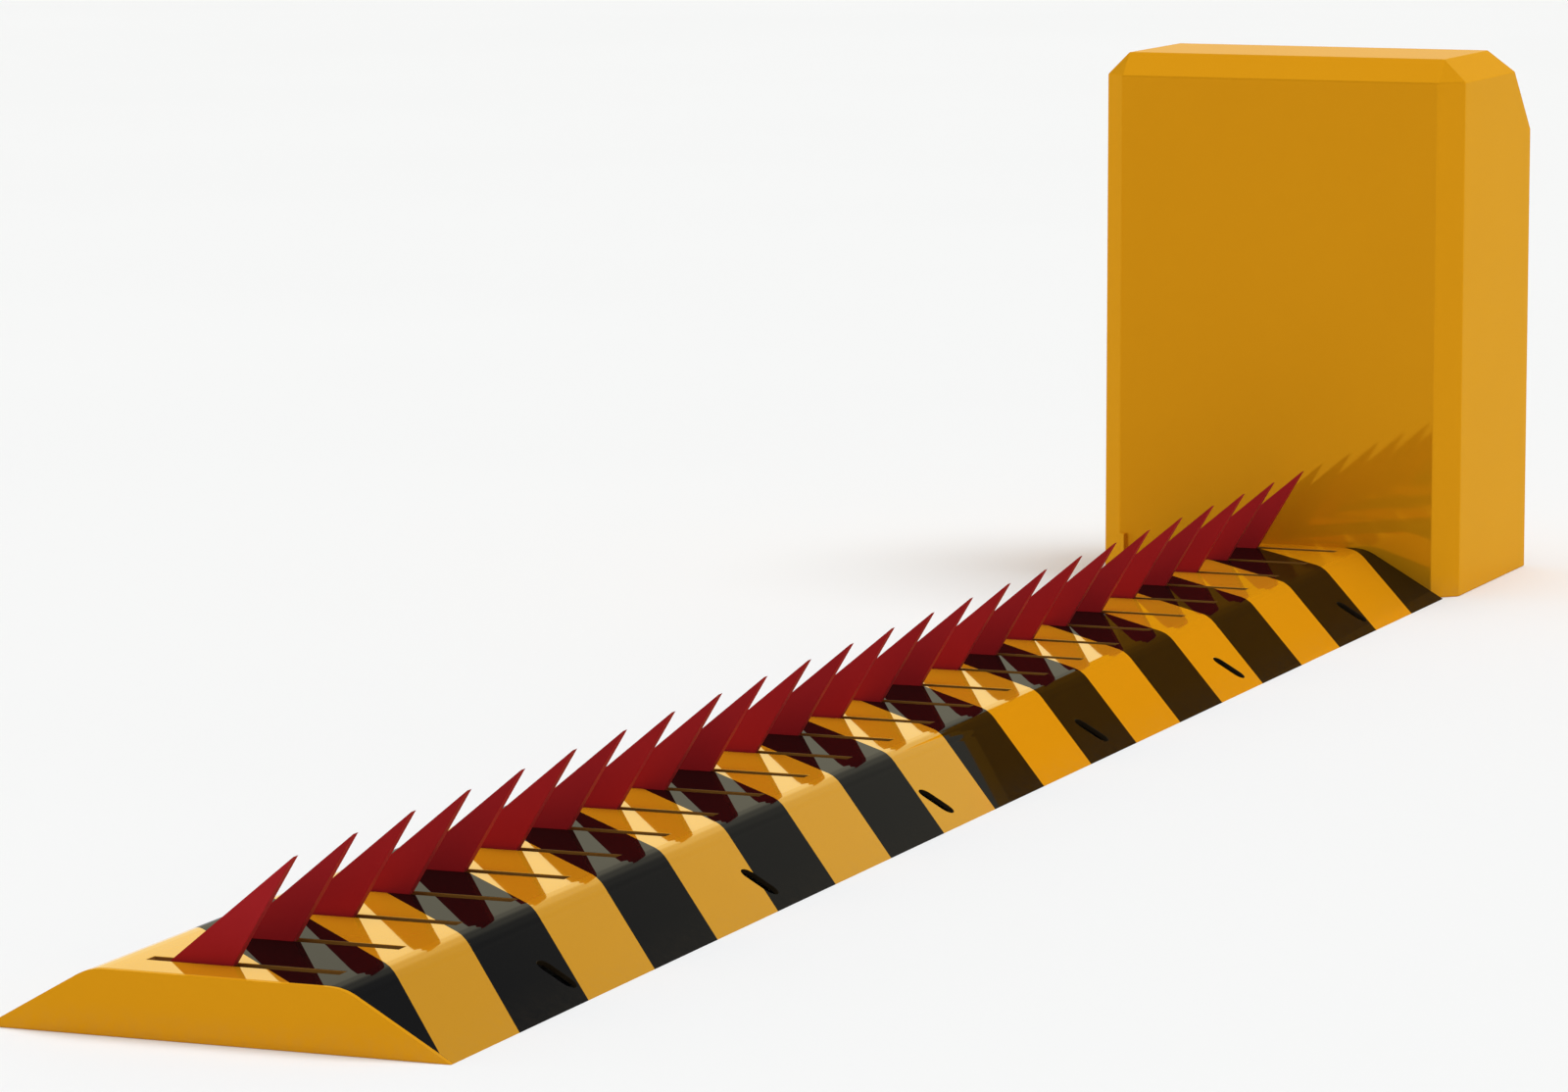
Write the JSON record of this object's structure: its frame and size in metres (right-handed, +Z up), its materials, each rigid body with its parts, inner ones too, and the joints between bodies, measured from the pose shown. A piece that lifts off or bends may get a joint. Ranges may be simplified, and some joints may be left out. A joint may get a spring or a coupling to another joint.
{
  "type": "tyre spike strip",
  "caption": "Surface-mounted road barrier: a striped low hump whose row of pointed plates folds down into slots, driven by a motor in an upright end cabinet",
  "frame": {"origin": "on the ground, in the middle of the whole object's footprint", "axes": "X along the strip towards the cabinet, Y across the strip, Z up"},
  "size_m": [3.3482, 0.464, 0.666],
  "materials": {
    "hazard_paint": "gloss, with black diagonal stripes",
    "yellow_paint": "gloss",
    "red_paint": "satin",
    "grey_paint": "satin",
    "steel": "turned or zinc plated",
    "cast_grey": "cast",
    "bronze": "turned",
    "black_plastic": "moulded",
    "rubber": "matt"
  },
  "bodies": {
    "frame": {"hump_cover": "hazard_paint", "base_rails": "grey_paint", "cross_ribs": "grey_paint", "free_end_plate": "yellow_paint", "drive_end_plate": "grey_paint", "shaft_bushes": "bronze", "cabinet_base_plate": "grey_paint", "cabinet_shell": "yellow_paint", "cabinet_bolts": "steel", "corner_gusset": "yellow_paint", "drive_bracket": "grey_paint", "gearbox_housing": "cast_grey", "motor_housing": "grey_paint", "motor_fan_cowl": "black_plastic", "motor_terminal_box": "grey_paint", "position_sensors": "bronze", "control_box": "grey_paint", "control_box_lid": "grey_paint", "cable_glands": "black_plastic", "frame_hinge_leaves": "steel", "hinge_pins": "steel"},
    "spike_rotor": {"spike_shaft": "steel", "hub_screws": "steel", "spike_01": "red_paint", "spike_02": "red_paint", "spike_03": "red_paint", "spike_04": "red_paint", "spike_05": "red_paint", "spike_06": "red_paint", "spike_07": "red_paint", "spike_08": "red_paint", "spike_09": "red_paint", "spike_10": "red_paint", "spike_11": "red_paint", "spike_12": "red_paint", "spike_13": "red_paint", "spike_14": "red_paint", "spike_15": "red_paint", "spike_16": "red_paint", "spike_17": "red_paint", "spike_18": "red_paint", "spike_19": "red_paint", "spike_20": "red_paint", "spike_21": "red_paint", "spike_22": "red_paint", "spike_23": "red_paint", "spike_24": "red_paint", "spike_25": "red_paint", "shaft_lever": "steel", "lever_pin": "steel"},
    "crank": {"output_shaft": "steel", "crank_arm": "steel", "crank_pin": "steel"},
    "rod": {"connecting_rod": "steel", "rod_ends": "steel"},
    "door": {"rear_door": "yellow_paint", "door_seal": "rubber", "door_hinge_leaves": "steel"},
    "lock": {"lock_handle": "black_plastic", "lock_cam": "steel"}
  },
  "joints": [
    {"name": "spike_fold", "type": "hinge", "parent": "frame", "child": "spike_rotor", "pos_m": [0, 0.106, 0.034], "axis": [1, 0, 0], "range_deg": [0, 32]},
    {"name": "crank_turn", "type": "hinge", "parent": "frame", "child": "crank", "pos_m": [1.37185, 0.106, 0.334], "axis": [1, 0, 0], "range_deg": [0, 32]},
    {"name": "rod_swing", "type": "hinge", "parent": "crank", "child": "rod", "pos_m": [1.35785, 0.04943, 0.39057], "axis": [1, 0, 0], "range_deg": [-32, 0]},
    {"name": "door_swing", "type": "hinge", "parent": "frame", "child": "door", "pos_m": [1.65785, 0.203, 0.29], "axis": [0, 0, 1], "range_deg": [0, 110]},
    {"name": "lock_turn", "type": "hinge", "parent": "door", "child": "lock", "pos_m": [1.65285, -0.165, 0.29], "axis": [1, 0, 0], "range_deg": [0, 90]}
  ],
  "couplings": [
    {"joint": "crank_turn", "follows": "spike_fold", "ratio": 1},
    {"joint": "rod_swing", "follows": "spike_fold", "ratio": -1}
  ]
}
